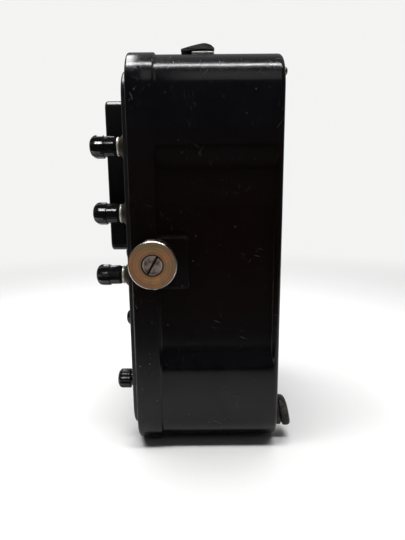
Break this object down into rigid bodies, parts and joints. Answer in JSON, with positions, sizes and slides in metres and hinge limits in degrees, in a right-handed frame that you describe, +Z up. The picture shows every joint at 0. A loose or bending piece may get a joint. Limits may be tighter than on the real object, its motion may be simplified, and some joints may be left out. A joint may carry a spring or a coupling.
{
  "type": "analog multimeter",
  "caption": "Portable analog multimeter in a black bakelite case, with side terminals, range knob, meter window, strap buttons and a leather hand strap.",
  "frame": {"origin": "middle of the standing face, on the floor, halfway through the depth of the case", "axes": "+X to the right seen from the front, the front panel faces -Y, +Z up along the height"},
  "size_m": [0.128, 0.1061, 0.2125],
  "materials": {
    "bakelite": "moulded bakelite, glossy where sheltered and hazy with fine scuffs",
    "panel": "black laminate sheet, satin",
    "moulding": "black moulded bezel, glossy",
    "knob": "black moulded caps and knobs, polished",
    "glass": "clear window glass",
    "dial": "cream painted scale plate",
    "magnet_steel": "cast magnet alloy",
    "steel": "plated sheet and bar steel",
    "brass": "turned brass",
    "worn_brass": "turned brass worn to a warm brown, bright at the rim",
    "nickel": "dull nickel plate",
    "copper": "enamelled copper winding",
    "pointer_paint": "black painted aluminium",
    "phenolic": "brown paper laminate",
    "leather": "black leather, creased",
    "rubber": "black moulded rubber",
    "cell_wrap": "plain blue cell jacket"
  },
  "bodies": {
    "case": {"case_tub": "bakelite", "front_panel": "panel", "meter_bezel": "moulding", "meter_window": "glass", "dial_plate": "dial", "magnet": "magnet_steel", "pole_piece_right": "steel", "pole_piece_left": "steel", "core": "steel", "movement_bracket": "steel", "potentiometer": "steel", "front_bridge": "brass", "hairspring": "brass", "range_bushing": "brass", "back_screw_right": "brass", "back_screw_left": "brass", "range_wafer": "phenolic", "component_board": "phenolic", "strap_button_right": "worn_brass", "strap_button_left": "worn_brass", "strap_button_screw_right": "nickel", "strap_button_screw_left": "nickel", "hand_strap": "leather", "strap_plate_right": "nickel", "strap_plate_left": "nickel", "strap_plate_screw_right": "nickel", "strap_plate_screw_left": "nickel", "rubber_foot_right": "rubber", "rubber_foot_left": "rubber", "battery_cell": "cell_wrap", "terminal_right_1_post": "nickel", "terminal_right_2_post": "nickel", "terminal_right_3_post": "nickel", "terminal_left_1_post": "nickel", "terminal_left_2_post": "nickel", "terminal_left_3_post": "nickel", "terminal_left_4_post": "nickel"},
    "movement": {"moving_coil": "copper", "pointer": "pointer_paint"},
    "zero_adjuster": {"zero_adjust_screw": "moulding"},
    "range_switch": {"range_knob": "knob", "range_shaft": "steel", "range_rotor": "phenolic"},
    "ohms_zero": {"ohms_zero_knob": "knob", "ohms_zero_shaft": "brass"},
    "battery_cover": {"battery_cover": "bakelite"},
    "terminal_right_1_insert": {"terminal_right_1_insert": "brass"},
    "terminal_right_1_cap": {"terminal_right_1_cap": "knob"},
    "terminal_right_2_insert": {"terminal_right_2_insert": "brass"},
    "terminal_right_2_cap": {"terminal_right_2_cap": "knob"},
    "terminal_right_3_insert": {"terminal_right_3_insert": "brass"},
    "terminal_right_3_cap": {"terminal_right_3_cap": "knob"},
    "terminal_left_1_insert": {"terminal_left_1_insert": "brass"},
    "terminal_left_1_cap": {"terminal_left_1_cap": "knob"},
    "terminal_left_2_insert": {"terminal_left_2_insert": "brass"},
    "terminal_left_2_cap": {"terminal_left_2_cap": "knob"},
    "terminal_left_3_insert": {"terminal_left_3_insert": "brass"},
    "terminal_left_3_cap": {"terminal_left_3_cap": "knob"},
    "terminal_left_4_insert": {"terminal_left_4_insert": "brass"},
    "terminal_left_4_cap": {"terminal_left_4_cap": "knob"}
  },
  "joints": [
    {"name": "pointer_swing", "type": "hinge", "parent": "case", "child": "movement", "pos_m": [0, -0.035, 0.12], "axis": [0, 1, 0], "range_deg": [-2, 82], "stiffness_Nm_per_rad": 0.0004},
    {"name": "zero_adjust_turn", "type": "hinge", "parent": "case", "child": "zero_adjuster", "pos_m": [0, -0.0515, 0.1143], "axis": [0, 1, 0], "range_deg": [-25, 25]},
    {"name": "range_select", "type": "hinge", "parent": "case", "child": "range_switch", "pos_m": [0, -0.04, 0.062], "axis": [0, 1, 0], "range_deg": [-150, 150]},
    {"name": "ohms_zero_turn", "type": "hinge", "parent": "case", "child": "ohms_zero", "pos_m": [0.044, -0.042, 0.0357], "axis": [0, 1, 0], "range_deg": [-135, 135]},
    {"name": "terminal_right_1_travel", "type": "slide", "parent": "case", "child": "terminal_right_1_insert", "axis": [0, -1, 0], "range_m": [0, 0.0021]},
    {"name": "terminal_right_1_turn", "type": "hinge", "parent": "terminal_right_1_insert", "child": "terminal_right_1_cap", "pos_m": [0.044, -0.05, 0.161], "axis": [0, -1, 0], "range_deg": [0, 1082]},
    {"name": "terminal_right_2_travel", "type": "slide", "parent": "case", "child": "terminal_right_2_insert", "axis": [0, -1, 0], "range_m": [0, 0.0021]},
    {"name": "terminal_right_2_turn", "type": "hinge", "parent": "terminal_right_2_insert", "child": "terminal_right_2_cap", "pos_m": [0.044, -0.05, 0.1275], "axis": [0, -1, 0], "range_deg": [0, 1082]},
    {"name": "terminal_right_3_travel", "type": "slide", "parent": "case", "child": "terminal_right_3_insert", "axis": [0, -1, 0], "range_m": [0, 0.0021]},
    {"name": "terminal_right_3_turn", "type": "hinge", "parent": "terminal_right_3_insert", "child": "terminal_right_3_cap", "pos_m": [0.044, -0.05, 0.095], "axis": [0, -1, 0], "range_deg": [0, 1082]},
    {"name": "terminal_left_1_travel", "type": "slide", "parent": "case", "child": "terminal_left_1_insert", "axis": [0, -1, 0], "range_m": [0, 0.0021]},
    {"name": "terminal_left_1_turn", "type": "hinge", "parent": "terminal_left_1_insert", "child": "terminal_left_1_cap", "pos_m": [-0.044, -0.05, 0.161], "axis": [0, -1, 0], "range_deg": [0, 1082]},
    {"name": "terminal_left_2_travel", "type": "slide", "parent": "case", "child": "terminal_left_2_insert", "axis": [0, -1, 0], "range_m": [0, 0.0021]},
    {"name": "terminal_left_2_turn", "type": "hinge", "parent": "terminal_left_2_insert", "child": "terminal_left_2_cap", "pos_m": [-0.044, -0.05, 0.1275], "axis": [0, -1, 0], "range_deg": [0, 1082]},
    {"name": "terminal_left_3_travel", "type": "slide", "parent": "case", "child": "terminal_left_3_insert", "axis": [0, -1, 0], "range_m": [0, 0.0021]},
    {"name": "terminal_left_3_turn", "type": "hinge", "parent": "terminal_left_3_insert", "child": "terminal_left_3_cap", "pos_m": [-0.044, -0.05, 0.095], "axis": [0, -1, 0], "range_deg": [0, 1082]},
    {"name": "terminal_left_4_travel", "type": "slide", "parent": "case", "child": "terminal_left_4_insert", "axis": [0, -1, 0], "range_m": [0, 0.0021]},
    {"name": "terminal_left_4_turn", "type": "hinge", "parent": "terminal_left_4_insert", "child": "terminal_left_4_cap", "pos_m": [-0.035, -0.05, 0.0475], "axis": [0, -1, 0], "range_deg": [0, 1082]},
    {"name": "battery_cover_lift", "type": "slide", "parent": "case", "child": "battery_cover", "axis": [0, 1, 0], "range_m": [0, 0.03]}
  ],
  "couplings": [
    {"joint": "terminal_right_1_turn", "follows": "terminal_right_1_travel", "rad_per_m": 8975.9},
    {"joint": "terminal_right_2_turn", "follows": "terminal_right_2_travel", "rad_per_m": 8975.9},
    {"joint": "terminal_right_3_turn", "follows": "terminal_right_3_travel", "rad_per_m": 8975.9},
    {"joint": "terminal_left_1_turn", "follows": "terminal_left_1_travel", "rad_per_m": 8975.9},
    {"joint": "terminal_left_2_turn", "follows": "terminal_left_2_travel", "rad_per_m": 8975.9},
    {"joint": "terminal_left_3_turn", "follows": "terminal_left_3_travel", "rad_per_m": 8975.9},
    {"joint": "terminal_left_4_turn", "follows": "terminal_left_4_travel", "rad_per_m": 8975.9}
  ]
}
